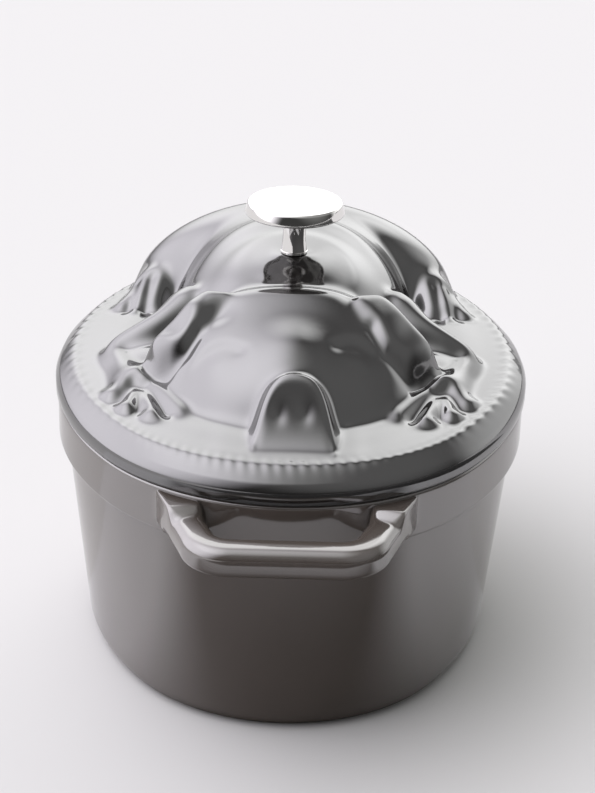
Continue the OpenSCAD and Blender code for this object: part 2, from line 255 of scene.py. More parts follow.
def ground(x, y):
    """A rounded shoulder that rises from the edge, and ground that rises gently towards the pig."""
    inset = arc_frame(x, y)[0]
    shoulder = GROUND_Z * np.sin(np.pi / 2 * np.clip(inset / SHOULDER_W, 0, 1))
    return shoulder + GROUND_RISE * ease((inset - SHOULDER_W) / RISE_W)


def border(x, y):
    """A row of soft beads on a low ridge on top of the shoulder."""
    inset, nx, ny = arc_frame(x, y)
    along = np.arctan2(ny, nx) * (END_R + SIDE_R) / 2
    bead = 0.5 + 0.5 * np.cos(2 * np.pi * (along + 0.5 * (inset - BORDER_IN)) / BEAD_PITCH)
    return (RIDGE_H + BEAD_H * bead) * np.exp(-(((inset - BORDER_IN) / BEAD_W) ** 2))


print("border with a bead every", BEAD_PITCH, "mm")

# %% Trunk and rump
BACK_MIDDLE, BACK_HALF, BACK_TOP, BACK_POWER = (0, 19.0), (37.5, 57.0), 36.5, 2.4
RUMP_MIDDLE, RUMP_HALF, RUMP_TOP, RUMP_JOIN = (0, 47.0), (53.0, 29.0), 34.8, 1.5
FOLD_Y, FOLD_START, FOLD_PITCH, FOLD_H, FOLD_LOW = -8.0, 14.0, 17.0, 0.5, 12.0
SEAT_CLEAR, CLEAR_FADE = 10.0, 8.0


def trunk(x, y):
    """A long narrow back with faint folds, and a broad rump whose thighs bulge out on both sides."""
    back = dome(x, y, BACK_MIDDLE, BACK_HALF, BACK_TOP, BACK_POWER)
    wave = np.sin(2 * np.pi * (np.hypot(x, y - FOLD_Y) - FOLD_START) / FOLD_PITCH)
    folds = FOLD_H * wave * ease((np.hypot(x, y) - SEAT_CLEAR) / CLEAR_FADE)
    rump = dome(x, y, RUMP_MIDDLE, RUMP_HALF, RUMP_TOP)
    return soft_max(back + folds * (back > FOLD_LOW), rump, RUMP_JOIN)


print("back", BACK_TOP, "mm and rump", RUMP_TOP, "mm over the lid's edge")

# %% Face
BROW_Y, BROW_H, BROW_SLOPE, BROW_CURVE = -26.0, 31.0, 0.42, 0.006
CROWN_Y, CROWN_H, CROWN_SLOPE, CROWN_ROUND = -21.0, 33.6, 0.55, 3.0
BRIDGE_Y, BRIDGE_L, BRIDGE_W, BRIDGE_H = -30.0, 16.0, 9.5, 2.2
CHEEK_Y, CHEEK_HALF, CHEEK_DROP, CHEEK_SIDE = -32.0, (34.5, 29.0), 5.5, 50.0


def face(x, y):
    """A nearly flat sloping brow, full cheeks and a bridge down to the snout."""
    slope = BROW_H + BROW_SLOPE * (y - BROW_Y)
    crown = CROWN_H - CROWN_SLOPE * (y - CROWN_Y)
    brow = -soft_max(-slope, -crown, CROWN_ROUND) - BROW_CURVE * x**2
    bridge = BRIDGE_H * np.exp(-((x / BRIDGE_W) ** 2)) * ease((BRIDGE_Y - y) / BRIDGE_L)
    e = np.hypot(x / CHEEK_HALF[0], (y - CHEEK_Y) / CHEEK_HALF[1])
    drop = CHEEK_DROP * np.minimum(e, 1) ** 5 + CHEEK_SIDE * np.maximum(e - 1, 0)
    return np.maximum(brow + bridge - drop, 0)


print("face", CHEEK_HALF[0] * 2, "mm wide over the cheeks")

# %% Snout and jaw
SNOUT_X, SNOUT_HALF, SNOUT_TOP, SNOUT_POWER = 1.5, 11.4, 22.4, 2.5
FRONT_Y, FRONT_H, FRONT_SLOPE = -72.5, 5.0, 1.33
NOSE_Y, NOSE_SLOPE, FRONT_ROUND = -60.0, 0.55, 1.0
JAW = [(0, -40, 28.5, 11.5), (SNOUT_X * 0.5, -47, 20, 10.5), (SNOUT_X, -57, 12, 8.5)]
JAW_TOP = 10.5


def snout_front(y):
    """The flat front of the snout, which leans back."""
    return FRONT_H + (y - FRONT_Y) * FRONT_SLOPE


def snout_arch(x):
    """The arch of the snout, seen from the front."""
    u = np.abs(x - SNOUT_X) / SNOUT_HALF
    return SNOUT_TOP * np.sqrt(np.maximum(1 - u**SNOUT_POWER, 0))


def snout(x, y):
    """A short cone with an arched top and a flat front."""
    back = snout_arch(x) - NOSE_SLOPE * np.maximum(y - NOSE_Y, 0)
    return np.maximum(-soft_max(-snout_front(y), -back, FRONT_ROUND), 0)


def jaw(x, y):
    """The lower edge of the cheeks, which runs forward into the chin on both sides of the snout."""
    return np.minimum(limb(x, y, JAW), JAW_TOP)


print("snout", SNOUT_HALF * 2, "mm wide and", SNOUT_TOP, "mm high")

# %% Ears
HEAD_Y = -22.0
EAR_TOP, EAR_FLAT, EAR_DROOP, EAR_LEAN, EAR_LEAN_Y = 30.5, 21.0, 0.03, 0.32, -23.0
TIP_LIFT, TIP_START, TIP_L = 3.5, 33.0, 11.0
EAR_T, EAR_EDGE_R, EAR_SIDE, EAR_CORNER = 1.6, 2.4, 6.0, 2.0
RIGHT_EAR = [(17, -21), (21.5, -31), (27, -38), (33.5, -39.5), (42.8, -29), (36.5, -23.5), (26, -17.5)]
LEFT_EAR = [(-17, -21), (-26, -17.5), (-36.5, -25), (-42, -29.5), (-40.5, -33.8), (-34, -37.4), (-29, -36),
            (-23.5, -29)]
EAR_ROLL = [(-29.5, -25), (-28.3, -30.5), (-29.2, -33.8), (-32.5, -35.8), (-36.8, -34.8), (-39.8, -32.3)]
ROLL_H, ROLL_W, LOBE_H = 1.1, 2.3, 0.5
LOBES = [((-27.8, -26.5), (4.5, 4.0)), ((-36.5, -34.0), (4.0, 3.0))]


def inside_of(x, y, corners):
    """Distance inside an outline that goes round against the clock, with soft corners."""
    inside = np.full(x.shape, 99.0)
    for (ax, ay), (bx, by) in zip(corners, corners[1:] + corners[:1]):
        dx, dy = bx - ax, by - ay
        depth = ((y - ay) * dx - (x - ax) * dy) / math.hypot(dx, dy)
        inside = -soft_max(-inside, -depth, EAR_CORNER)
    return inside


def ear(x, y, corners):
    """A flap with a rounded edge that hangs over the side of the head and lifts at its tip."""
    reach = np.hypot(x, y - HEAD_Y)
    top = EAR_TOP - EAR_DROOP * np.maximum(reach - EAR_FLAT, 0) ** 2 + EAR_LEAN * (y - EAR_LEAN_Y)
    top = top + TIP_LIFT * ease((reach - TIP_START) / TIP_L)
    inside = inside_of(x, y, corners)
    roll = 1 - np.clip(inside / EAR_EDGE_R, 0, 1)
    top = top - EAR_T * (1 - np.sqrt(1 - roll**2)) - EAR_SIDE * np.maximum(-inside, 0)
    return np.maximum(top, 0)


def ear_roll(x, y):
    """The left ear's front edge is rolled up in two lobes, like an S."""
    lobes = sum(spot(x, y, middle, half) for middle, half in LOBES)
    return ROLL_H * stroke(x, y, EAR_ROLL, ROLL_W) + LOBE_H * lobes


print("ears have", len(RIGHT_EAR), "and", len(LEFT_EAR), "corners")

# %% Legs, hands and hind feet
ARM = [(31, -1, 12, 24), (38, -7.5, 8.5, 19.5), (45, -10.5, 7, 15.8), (51, -12.5, 5.8, 12.2),
       (51.8, -17, 4.8, 10), (49.5, -24, 4.8, 9.6), (46.5, -31, 6.5, 10.5)]
SHOULDER, SHOULDER_HALF, SHOULDER_TOP, SHOULDER_JOIN = (40, -16), (14, 18), 11.5, 3.0
HAND, PALM_HALF, PALM_TOP, PALM_JOIN = (44, -34), (9, 9), 11.0, 2.5
TOES = [(50.4, -40.5), (45.4, -48.4), (38.4, -53.4), (30.6, -52)]
TOE_ROOT, TOE_TIP, TOE_JOIN = (6.0, 11.0), (4.8, 7.4), 2.0
HIND_LEG = [(41, 42, 10, 17.5), (43.5, 34.5, 10, 16.5), (46.5, 27.5, 9, 13)]
HIND_TOES = [(44, 22.5), (49.2, 21), (53.4, 24.5)]
HIND_ROOT, HIND_TIP, HIND_JOIN = (46, 33, 5, 13.5), (4.2, 8), 0.8


def legs(x, y, side):
    """One side's arm, hand and hind foot."""
    arm = limb(x, y, both(smooth_way(ARM), side))
    shoulder = dome(x, y, (side * SHOULDER[0], SHOULDER[1]), SHOULDER_HALF, SHOULDER_TOP)
    palm = dome(x, y, (side * HAND[0], HAND[1]), PALM_HALF, PALM_TOP)
    front = soft_max(soft_max(arm, shoulder, SHOULDER_JOIN), palm, PALM_JOIN)
    for toe in TOES:
        front = soft_max(front, limb(x, y, both([HAND + TOE_ROOT, toe + TOE_TIP], side)), TOE_JOIN)
    hind = limb(x, y, both(smooth_way(HIND_LEG), side))
    for toe in HIND_TOES:
        hind = soft_max(hind, limb(x, y, both([HIND_ROOT, toe + HIND_TIP], side)), HIND_JOIN)
    return np.maximum(front, hind)


print("each hand has", len(TOES), "toes and each hind foot", len(HIND_TOES))

# %% Join the forms and set them on the ground
FACE_JOIN, JAW_JOIN, SNOUT_JOIN, LEG_JOIN, GROUND_JOIN = 2.5, 3.0, 2.5, 2.5, 6.0
TIP_JOIN, ROOT_JOIN, EAR_ROOT_X, EAR_ROOT_FADE = 0.8, 6.0, 24.0, 6.0
BORDER_CLEAR, BORDER_FADE = 0.5, 3.0
SEAT_R, SEAT_FADE = 7.2, 2.6


def soft_forms(x, y):
    """The pig's rounded forms, joined by fillets, with a flat seat for the knob."""
    body = soft_max(trunk(x, y), face(x, y), FACE_JOIN)
    body = soft_max(body, jaw(x, y), JAW_JOIN)
    body = soft_max(body, snout(x, y), SNOUT_JOIN)
    join = TIP_JOIN + (ROOT_JOIN - TIP_JOIN) * ease((EAR_ROOT_X - np.abs(x)) / EAR_ROOT_FADE)
    body = soft_max(body, ear(x, y, RIGHT_EAR), join)
    body = soft_max(body, ear(x, y, LEFT_EAR) + ear_roll(x, y), join)
    for side in (-1, 1):
        body = soft_max(body, legs(x, y, side), LEG_JOIN)
    inset = arc_frame(x, y)[0]
    inside = ease((inset - BORDER_IN - BORDER_CLEAR) / BORDER_FADE)
    height = ground(x, y)
    height = height + (soft_max(height, body, GROUND_JOIN) - height) * inside
    seat = ease((SEAT_R - np.hypot(x, y)) / SEAT_FADE)
    return height + (SEAT_Z - EDGE_Z - height) * seat


print("fillets up to", GROUND_JOIN, "mm wide")

# %% Eyes
EYES = {-1: (21.0, -43.6), 1: (19.2, -41.6)}
EYELID_Y, EYELID_ARCH, EYELID_EDGE, EYELID_FADE, EYELID_D, EYELID_HALF = 4.2, 0.06, 2.6, 11.0, 0.85, 8.0
LENS_MIDDLE, LENS_HALF, LENS_H = (0, -2.5), (5.0, 2.6), 0.2
CORNER_MIDDLE, CORNER_HALF, CORNER_D = (-6.6, 0.2), (1.8, 1.5), 0.4


def eye(x, y, side):
    """A closed lid under an arched fold: how far the surface sinks in."""
    a, b = x * side - EYES[side][0], y - EYES[side][1]
    below = b - EYELID_Y + EYELID_ARCH * a**2
    step = ease(0.5 - below / EYELID_EDGE) * np.exp(-((np.minimum(below, 0) / EYELID_FADE) ** 2))
    sunk = EYELID_D * step * np.exp(-((a / EYELID_HALF) ** 4))
    sunk = sunk - LENS_H * spot(a, b, LENS_MIDDLE, LENS_HALF)
    return sunk + CORNER_D * spot(a, b, CORNER_MIDDLE, CORNER_HALF)


print("eyes", EYELID_HALF * 2, "mm wide")

# %% Creases, clefts and nostrils
DIPS = [((-21.5, -28), (4.5, 4), 1.3), ((17, -21), (3, 3), 0.6)]
EAR_GROOVES = [[(23, -32), (26.5, -38.5), (33.5, -41), (38.8, -36.2), (43.5, -31)],
               [(-27.5, -34), (-30, -37.5), (-34.5, -39), (-38.5, -37), (-41.5, -34.3)]]
GROOVE_D, GROOVE_W = 1.3, 1.7
CLEFT_D, CLEFT_W, CLEFT_START, CLEFT_PAST = 1.7, 2.1, 0.3, 1.0
HIND_CLEFT_D, HIND_CLEFT_W, HIND_PAST, HIND_WAY = 1.6, 1.9, 2.0, (-1.5, 11)
NOSTRILS, NOSTRIL_HALF, NOSTRIL_D = [(-3.0, -66.3), (4.4, -66.0)], (1.9, 1.6), 0.9
NOSE_LIP_Y, NOSE_LIP_W, NOSE_LIP_H = -52.0, 2.6, 0.9


def clefts(x, y, side):
    """Grooves between the toes of one side."""
    cut = 0.0
    for a, b in zip(TOES, TOES[1:]):
        tip = ((a[0] + b[0]) / 2, (a[1] + b[1]) / 2 - CLEFT_PAST)
        root = (HAND[0] + (tip[0] - HAND[0]) * CLEFT_START, HAND[1] + (tip[1] - HAND[1]) * CLEFT_START)
        cut = cut + CLEFT_D * stroke(x, y, both([root, tip], side), CLEFT_W)
    for a, b in zip(HIND_TOES, HIND_TOES[1:]):
        tip = ((a[0] + b[0]) / 2, (a[1] + b[1]) / 2 - HIND_PAST)
        root = (tip[0] + HIND_WAY[0], tip[1] + HIND_WAY[1])
        cut = cut + HIND_CLEFT_D * stroke(x, y, both([root, tip], side), HIND_CLEFT_W)
    return cut


def creases(x, y):
    """What is cut into the soft forms, as a depth in millimetres, less the snout's raised lip."""
    cut = sum(depth * spot(x, y, middle, half) for middle, half, depth in DIPS)
    cut = cut + sum(GROOVE_D * stroke(x, y, groove, GROOVE_W) for groove in EAR_GROOVES)
    for side in (-1, 1):
        cut = cut + eye(x, y, side) + clefts(x, y, side)
    for middle in NOSTRILS:
        cut = cut + NOSTRIL_D * spot(x, y, middle, NOSTRIL_HALF)
    on_lip = np.exp(-(((snout_front(y) - snout_arch(x)) / NOSE_LIP_W) ** 2))
    return cut - NOSE_LIP_H * on_lip * (y < NOSE_LIP_Y) * (np.abs(x - SNOUT_X) < SNOUT_HALF)


print(len(EAR_GROOVES), "ear grooves and", len(NOSTRILS), "nostrils")

# %% [markdown]
# ## Enamel
#
# The glaze is glass on iron: a smooth grey body colour under a clear glossy surface. Fired enamel is
# never quite even, so its grey drifts a little from place to place and the surface has a faint
# orange-peel ripple. One node group gives both, and each enamel takes its own colours from it. Lid and
# pot have the same glaze: the lid takes a darker copy, whose darkness is painted shade, and the pot a
# lighter, warmer copy, whose lightness is painted light.

# %% Helpers for materials and nodes
def new_material(name):
    """A material with nodes, its node tree and its surface."""
    material = bpy.data.materials.new(name)
    material.use_nodes = True
    return material, material.node_tree, material.node_tree.nodes["Principled BSDF"]


def set_inputs(node, values):
    """Set a node's inputs by name."""
    for label, value in values.items():
        node.inputs[label].default_value = value


def link_all(tree, pairs):
    """Link each output to its input."""
    for source, target in pairs:
        tree.links.new(source, target)


# %% Node group for fired glaze
CLOUD_DETAIL, RIPPLE_SCALE = 4.0, 260.0
GLAZE_INPUTS = [("Thick colour", "NodeSocketColor", (0.15, 0.15, 0.15, 1)),
                ("Thin colour", "NodeSocketColor", (0.12, 0.12, 0.12, 1)),
                ("Cloud scale", "NodeSocketFloat", 40.0),
                ("Smooth", "NodeSocketFloat", 0.08),
                ("Rough", "NodeSocketFloat", 0.14)]
GLAZE_OUTPUTS = [("Colour", "NodeSocketColor"), ("Roughness", "NodeSocketFloat"),
                 ("Ripple", "NodeSocketFloat")]
glaze = bpy.data.node_groups.new("fired_glaze", "ShaderNodeTree")
for label, kind, value in GLAZE_INPUTS:
    glaze.interface.new_socket(label, in_out="INPUT", socket_type=kind).default_value = value
for label, kind in GLAZE_OUTPUTS:
    glaze.interface.new_socket(label, in_out="OUTPUT", socket_type=kind)
glaze_in, glaze_out = glaze.nodes.new("NodeGroupInput"), glaze.nodes.new("NodeGroupOutput")
place = glaze.nodes.new("ShaderNodeTexCoord")
cloud = glaze.nodes.new("ShaderNodeTexNoise")
cloud.inputs["Detail"].default_value = CLOUD_DETAIL
ripple = glaze.nodes.new("ShaderNodeTexNoise")
ripple.inputs["Scale"].default_value = RIPPLE_SCALE
tint = glaze.nodes.new("ShaderNodeMix")
tint.data_type = "RGBA"
polish = glaze.nodes.new("ShaderNodeMix")
link_all(glaze, [
    (place.outputs["Object"], cloud.inputs["Vector"]),
    (place.outputs["Object"], ripple.inputs["Vector"]),
    (glaze_in.outputs["Cloud scale"], cloud.inputs["Scale"]),
    (cloud.outputs["Fac"], tint.inputs["Factor"]),
    (glaze_in.outputs["Thin colour"], tint.inputs["A"]),
    (glaze_in.outputs["Thick colour"], tint.inputs["B"]),
    (cloud.outputs["Fac"], polish.inputs["Factor"]),
    (glaze_in.outputs["Smooth"], polish.inputs["A"]),
    (glaze_in.outputs["Rough"], polish.inputs["B"]),
    (tint.outputs["Result"], glaze_out.inputs["Colour"]),
    (polish.outputs["Result"], glaze_out.inputs["Roughness"]),
    (ripple.outputs["Fac"], glaze_out.inputs["Ripple"])])
print("glaze group has", len(glaze.nodes), "nodes")

# %% Enamel materials
GLAZE_IOR = 2.5
RIPPLE_STRENGTH = 0.3


def enamel(name, thick, thin, smooth, rough, ripple_height):
    """A glaze whose colour and polish drift between two values, with a ripple of a height in metres."""
    material, tree, surface = new_material(name)
    surface.inputs["IOR"].default_value = GLAZE_IOR
    group = tree.nodes.new("ShaderNodeGroup")
    group.node_tree = glaze
    set_inputs(group, {"Thick colour": (*thick, 1), "Thin colour": (*thin, 1)})
    set_inputs(group, {"Smooth": smooth, "Rough": rough})
    bump = tree.nodes.new("ShaderNodeBump")
    set_inputs(bump, {"Distance": ripple_height, "Strength": RIPPLE_STRENGTH})
    link_all(tree, [
        (group.outputs["Colour"], surface.inputs["Base Color"]),
        (group.outputs["Roughness"], surface.inputs["Roughness"]),
        (group.outputs["Ripple"], bump.inputs["Height"]),
        (bump.outputs["Normal"], surface.inputs["Normal"])])
    return material


# Lid and pot share one glaze: the lid's darker copy is painted shade, the pot's lighter copy is painted
# light.
SHADED_LID_ENAMEL = enamel("shaded_lid_enamel", (0.013, 0.0115, 0.0108), (0.009, 0.008, 0.0075), 0.06, 0.11, 0.00004)
LIT_POT_ENAMEL = enamel("pot_enamel", (0.085, 0.071, 0.061), (0.070, 0.058, 0.050), 0.06, 0.11, 0.00004)
BLACK_ENAMEL = enamel("black_enamel", (0.018, 0.018, 0.018), (0.012, 0.012, 0.012), 0.45, 0.6, 0.0001)
print("enamels:", SHADED_LID_ENAMEL.name, LIT_POT_ENAMEL.name, BLACK_ENAMEL.name)

# %% [markdown]
# ## The lid
#
# A square grid is pressed into the oval, so its cells stay even all over the lid and no pole sits in
# the middle. The rim and the skirt are parallel curves below the grid's own border, and a coarser grid
# closes the underside, which nobody sees while the lid is on.

# %% Grid over the lid
FINE, RATIO = 280, 4
COARSE = FINE // RATIO
SETTLE = 0.5


def oval_grid(cells, off):
    """Points of a square grid pressed into the oval at off, its border points in order and its faces."""
    line = np.linspace(-1, 1, cells + 1)
    u, v = np.meshgrid(line, line)
    x, y = u * np.sqrt(1 - v * v / 2), v * np.sqrt(1 - u * u / 2)
    angle, share = np.arctan2(y, x), np.hypot(x, y)
    reach = share * oval_reach(angle, off)
    number = np.arange((cells + 1) ** 2).reshape(cells + 1, cells + 1)
    around = np.concatenate([number[0, :-1], number[:-1, -1], number[-1, :0:-1], number[:0:-1, 0]])
    quads = np.stack([number[:-1, :-1], number[:-1, 1:], number[1:, 1:], number[1:, :-1]], -1)
    return (reach * np.cos(angle)).ravel(), (reach * np.sin(angle)).ravel(), around, quads.reshape(-1, 4)


def settle(height, cells, rounds):
    """Soften a grid of heights a little, as melted glaze does."""
    grid = height.reshape(cells + 1, cells + 1).copy()
    for _ in range(rounds):
        mid = grid[1:-1, 1:-1]
        around = grid[:-2, 1:-1] + grid[2:, 1:-1] + grid[1:-1, :-2] + grid[1:-1, 2:]
        grid[1:-1, 1:-1] = mid + SETTLE * (around / 4 - mid)
    return grid.ravel()


print("grids of", FINE, "and", COARSE, "cells a side")

# %% Heights of the top and of the underside
EDGE_ROUND = 1.0
SKIRT_OUT, SKIRT_IN, SKIRT_D = -7.9, -11.5, 6.0
LID_WALL, LOW_IN, LOW_DROP = 4.5, 1.0, 1.0
BOSS_R, BOSS_LOW = 8.0, SEAT_Z - EDGE_Z - LID_WALL - 1.5
FORM_ROUNDS, CREASE_ROUNDS, LOW_ROUNDS = 18, 5, 12
top_x, top_y, top_border, top_quads = oval_grid(FINE, -EDGE_ROUND)
top_z = settle(soft_forms(top_x, top_y), FINE, FORM_ROUNDS)
top_z = settle(top_z + border(top_x, top_y) - creases(top_x, top_y), FINE, CREASE_ROUNDS)
low_x, low_y, low_border, low_quads = oval_grid(COARSE, SKIRT_IN - LOW_IN)
low_z = settle(soft_forms(low_x, low_y), COARSE, LOW_ROUNDS) - LID_WALL - LOW_DROP
low_z = np.where(np.hypot(low_x, low_y) < BOSS_R, BOSS_LOW, low_z)
print("relief up to", round(float(top_z.max()), 1), "mm over the lid's edge")

# %% Rim and skirt below the grid's border
points = [np.stack([top_x, top_y, EDGE_Z + top_z], 1)]
faces = top_quads.tolist()
ring = top_border
edge_x, edge_y = top_x[top_border], top_y[top_border]
_, out_x, out_y = arc_frame(edge_x, edge_y)
profile = [(-EDGE_ROUND * 0.3, EDGE_Z - EDGE_ROUND * 0.3), (0, EDGE_Z - EDGE_ROUND), (0, POT_H + 1.1),
           (-0.3, POT_H + 0.5), (-0.9, POT_H + 0.2), (SKIRT_OUT, POT_H + 0.2),
           (SKIRT_OUT - 0.4, POT_H - SKIRT_D + 1), (SKIRT_OUT - 1.2, POT_H - SKIRT_D),
           (SKIRT_IN + 0.8, POT_H - SKIRT_D), (SKIRT_IN, POT_H - SKIRT_D + 0.8)]
count = len(top_x)
for off, z in profile:
    step = off + EDGE_ROUND
    points.append(np.stack([edge_x + out_x * step, edge_y + out_y * step, np.full(len(ring), z)], 1))
    lower = count + np.arange(len(ring))
    faces += np.stack([ring, np.roll(ring, -1), np.roll(lower, -1), lower], 1).tolist()
    ring, count = lower, count + len(ring)
print("rim and skirt have", len(profile), "rings of", len(ring), "points")

# %% Close the underside
points.append(np.stack([low_x, low_y, EDGE_Z + low_z], 1))
faces += (low_quads + count).tolist()
for i, a in enumerate(low_border):
    a, b = a + count, low_border[(i + 1) % len(low_border)] + count
    f = [ring[(RATIO * i + k) % len(ring)] for k in range(RATIO + 1)]
    faces += [(a, f[0], f[1]), (a, f[1], f[2]), (a, f[2], b), (b, f[2], f[3]), (b, f[3], f[4])]
lid = make_piece("lid_casting", np.concatenate(points), faces, SHADED_LID_ENAMEL)
print("lid has", len(lid.data.polygons), "faces")

# %% Black enamel in the lid's hollow, and the lid's place in the model
FACES_DOWN, JOINT_Z = -0.2, POT_H + 0.3
lid.data.materials.append(BLACK_ENAMEL)
middles = np.array([polygon.center for polygon in lid.data.polygons]) / MM
facing = np.array([polygon.normal.z for polygon in lid.data.polygons])
hollow = arc_frame(middles[:, 0], middles[:, 1])[0] > -SKIRT_OUT
hollow |= (facing < FACES_DOWN) | (middles[:, 2] < JOINT_Z)
hollow[:len(top_quads)] = False
lid.data.polygons.foreach_set("material_index", hollow.astype(np.int32))
print(int(hollow.sum()), "of the lid's faces are black")
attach(lid, "lid")
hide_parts("lid")

# %% [markdown]
# ## The pot
#
# The pot's wall follows a rule: one outline carried round the oval. Geometry Nodes do that with Curve
# to Mesh, where the oval is the path and the outline is the profile. The floor and the foot are flat,
# so each is closed by one face afterwards.

# %% Outline of the wall
COLLAR_H, COLLAR_IN, COLLAR_STEP = 14.0, 0.6, 2.6
WALL_T, FLOOR_T, WALL_LEAN = 4.0, 4.5, math.radians(5.4)
FOOT_R, INNER_R, RIM_ROUND, LIP_R, COVE_R = 6.0, 9.0, 1.0, 1.3, 1.6
COLLAR_LOW = POT_H - COLLAR_H
WALL_TOP = -COLLAR_IN - COLLAR_STEP
RIM_IN = WALL_TOP - WALL_T


def arc(cx, cz, r, start, end, cuts=10):
    """Points on an arc between two angles in degrees."""
    angles = np.radians(np.linspace(start, end, cuts + 1))
    return [(cx + r * math.cos(a), cz + r * math.sin(a)) for a in angles]


def line(a, b, cuts):
    """Points between two ends, without the ends."""
    return [(a[0] + (b[0] - a[0]) * i / cuts, a[1] + (b[1] - a[1]) * i / cuts) for i in range(1, cuts)]


lean = math.tan(WALL_LEAN)
wall_foot = WALL_TOP - (COLLAR_LOW - FOOT_R) * lean
inner_foot = RIM_IN - (COLLAR_LOW - FLOOR_T - INNER_R) * lean
outline = arc(inner_foot - INNER_R, FLOOR_T + INNER_R, INNER_R, -90, 0)
outline += [(RIM_IN, COLLAR_LOW)]
outline += arc(RIM_IN + RIM_ROUND, POT_H - RIM_ROUND, RIM_ROUND, 180, 90, 6)
outline += arc(-COLLAR_IN - RIM_ROUND, POT_H - RIM_ROUND, RIM_ROUND, 90, 0, 6)
outline += line((-COLLAR_IN, POT_H - RIM_ROUND), (-COLLAR_IN, COLLAR_LOW + LIP_R), 6)
outline += arc(-COLLAR_IN - LIP_R, COLLAR_LOW + LIP_R, LIP_R, 0, -80, 8)
outline += arc(WALL_TOP + COVE_R, COLLAR_LOW - COVE_R, COVE_R, 100, 175, 8)
outline += line((WALL_TOP, COLLAR_LOW - COVE_R), (wall_foot, FOOT_R), 12)
outline += arc(wall_foot - FOOT_R, FOOT_R, FOOT_R, 0, -90)
print("outline of the wall has", len(outline), "points")


# %% Helpers for curves and Geometry Nodes
def poly_curve(name, points, cyclic):
    """A curve object of straight lines through points in millimetres."""
    curve = bpy.data.curves.new(name, "CURVE")
    curve.dimensions = "3D"
    spline = curve.splines.new("POLY")
    spline.points.add(len(points) - 1)
    for point, place in zip(spline.points, points):
        point.co = (*(c * MM for c in place), 1)
    spline.use_cyclic_u = cyclic
    return add_object(name, curve)


def new_tree(name, inputs):
    """A Geometry Nodes tree with a geometry in and out, and named inputs."""
    tree = bpy.data.node_groups.new(name, "GeometryNodeTree")
    tree.interface.new_socket("Geometry", in_out="INPUT", socket_type="NodeSocketGeometry")
    keys = {}
    for label, kind in inputs:
        keys[label] = tree.interface.new_socket(label, in_out="INPUT", socket_type=kind).identifier
    tree.interface.new_socket("Geometry", in_out="OUTPUT", socket_type="NodeSocketGeometry")
    return tree, keys


def chain(tree, start, *nodes):
    """Link geometry through nodes one after another and return the last output."""
    flow = start
    for node in nodes:
        tree.links.new(flow, node.inputs[0])
        flow = node.outputs[0]
    return flow


def bake_nodes(maker, tree, keys, values):
    """Run a tree on an object and return the result as a plain mesh."""
    modifier = maker.modifiers.new("tree", "NODES")
    modifier.node_group = tree
    for label, value in values.items():
        modifier[keys[label]] = value
    mesh = final_mesh(maker)
    maker.modifiers.remove(modifier)
    return mesh


# %% Geometry Nodes tree that sweeps an outline
sweep, sweep_keys = new_tree(
    "sweep_outline", [("Outline", "NodeSocketObject"), ("Finish", "NodeSocketMaterial")])
sweep_in = sweep.nodes.new("NodeGroupInput")
sweep_out = sweep.nodes.new("NodeGroupOutput")
outline_info = sweep.nodes.new("GeometryNodeObjectInfo")
upright = sweep.nodes.new("GeometryNodeSetCurveNormal")
upright.mode = "Z_UP"
skin = sweep.nodes.new("GeometryNodeCurveToMesh")
finish_wall = sweep.nodes.new("GeometryNodeSetMaterial")
realize = sweep.nodes.new("GeometryNodeRealizeInstances")
sweep.links.new(sweep_in.outputs["Outline"], outline_info.inputs["Object"])
sweep.links.new(outline_info.outputs["Geometry"], skin.inputs["Profile Curve"])
sweep.links.new(sweep_in.outputs["Finish"], finish_wall.inputs["Material"])
wall_flow = chain(sweep, sweep_in.outputs["Geometry"], upright, skin, realize, finish_wall)
sweep.links.new(wall_flow, sweep_out.inputs[0])
print("sweep tree has", len(sweep.nodes), "nodes")

# %% Sweep the wall and close its floor and foot
ROUND_CUTS = 240
turns = np.linspace(0, 2 * np.pi, ROUND_CUTS, endpoint=False)
reach = oval_reach(turns, 0.0)
oval = [(r * math.cos(a), r * math.sin(a), 0) for a, r in zip(turns, reach)]
path = poly_curve("oval_path", oval, True)
wall_outline = poly_curve("wall_outline", [(off, -z, 0) for off, z in outline], False)
wall_mesh = bake_nodes(path, sweep, sweep_keys, {"Outline": wall_outline, "Finish": LIT_POT_ENAMEL})
wall_points = np.array([v.co for v in wall_mesh.vertices])
print("swept wall box", wall_points.min(0) / MM, wall_points.max(0) / MM)
for helper in (path, wall_outline):
    bpy.data.objects.remove(helper)
close_up(wall_mesh, fill=True)
pot = add_object("pot_casting", wall_mesh)

# %% [markdown]
# ## Points under the lid
#
# The underside of such a lid has a field of small blunt points, where steam condenses and drips back on
# the food. They repeat over a surface, so Geometry Nodes place one rounded point on each of a staggered
# set of places.

# %% Places for the points
ROW_STEP, ROW_END, CLEAR_BOSS, STEEP = 6, 3, 12.0, 0.7
POINT_R, POINT_H = 2.0, 2.8
under = low_z.reshape(COARSE + 1, COARSE + 1)
under_x, under_y = low_x.reshape(under.shape), low_y.reshape(under.shape)
places = []
for j in range(ROW_STEP, COARSE, ROW_STEP):
    shift = ROW_STEP // 2 * (j // ROW_STEP % 2)
    for i in range(ROW_STEP + shift, COARSE - ROW_END, ROW_STEP):
        rise_x = (under[j, i + 1] - under[j, i - 1]) / (under_x[j, i + 1] - under_x[j, i - 1])
        rise_y = (under[j + 1, i] - under[j - 1, i]) / (under_y[j + 1, i] - under_y[j - 1, i])
        px, py = under_x[j, i], under_y[j, i]
        if math.hypot(px, py) > CLEAR_BOSS and math.hypot(rise_x, rise_y) < STEEP:
            places.append((px * MM, py * MM, (EDGE_Z + under[j, i]) * MM))
print(len(places), "points under the lid")

